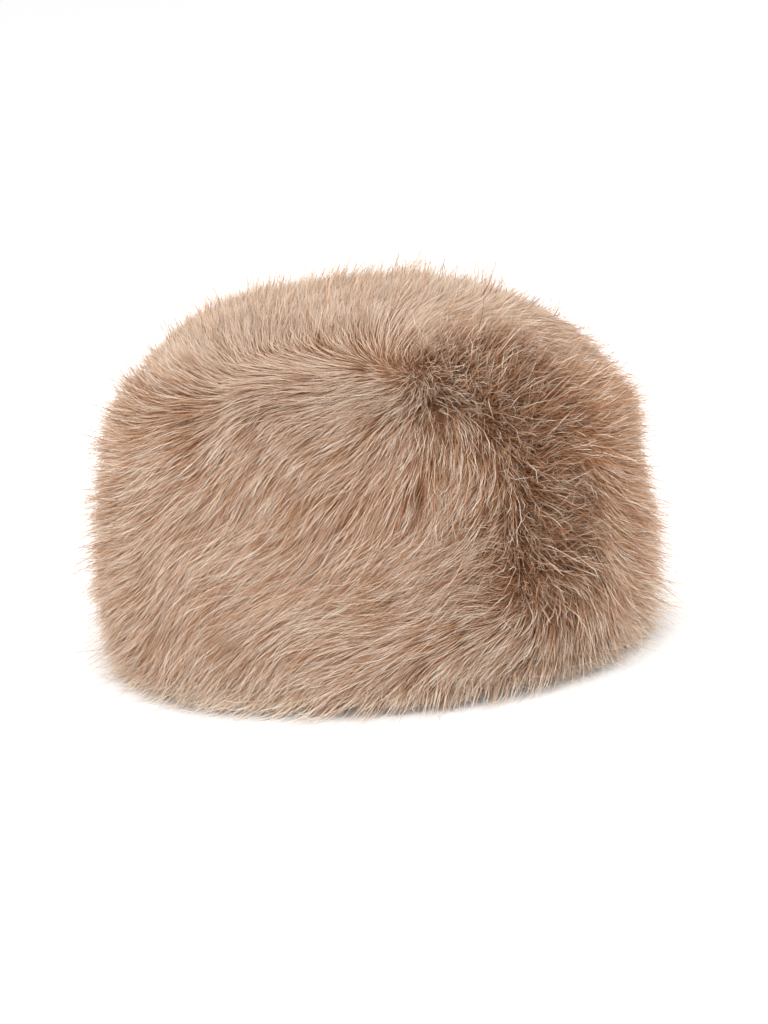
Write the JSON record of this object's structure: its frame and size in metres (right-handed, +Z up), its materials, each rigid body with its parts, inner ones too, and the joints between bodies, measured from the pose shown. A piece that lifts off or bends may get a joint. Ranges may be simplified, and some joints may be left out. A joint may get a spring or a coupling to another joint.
{
  "type": "fur pillbox hat",
  "caption": "Brimless pillbox hat of long taupe fur: an oval side band with a domed crown, open below for the head.",
  "frame": {"origin": "middle of the rim on the surface that the hat rests on", "axes": "+Z up out of the crown, -Y the front that the picture shows, +X the picture's right; the head's long axis runs along Y"},
  "size_m": [0.2379, 0.2545, 0.1493],
  "materials": {
    "taupe_fur": "soft long pile, matte with a slight sheen along the hair"
  },
  "bodies": {
    "root": {"side_band": "taupe_fur", "crown_tip": "taupe_fur"}
  },
  "joints": []
}
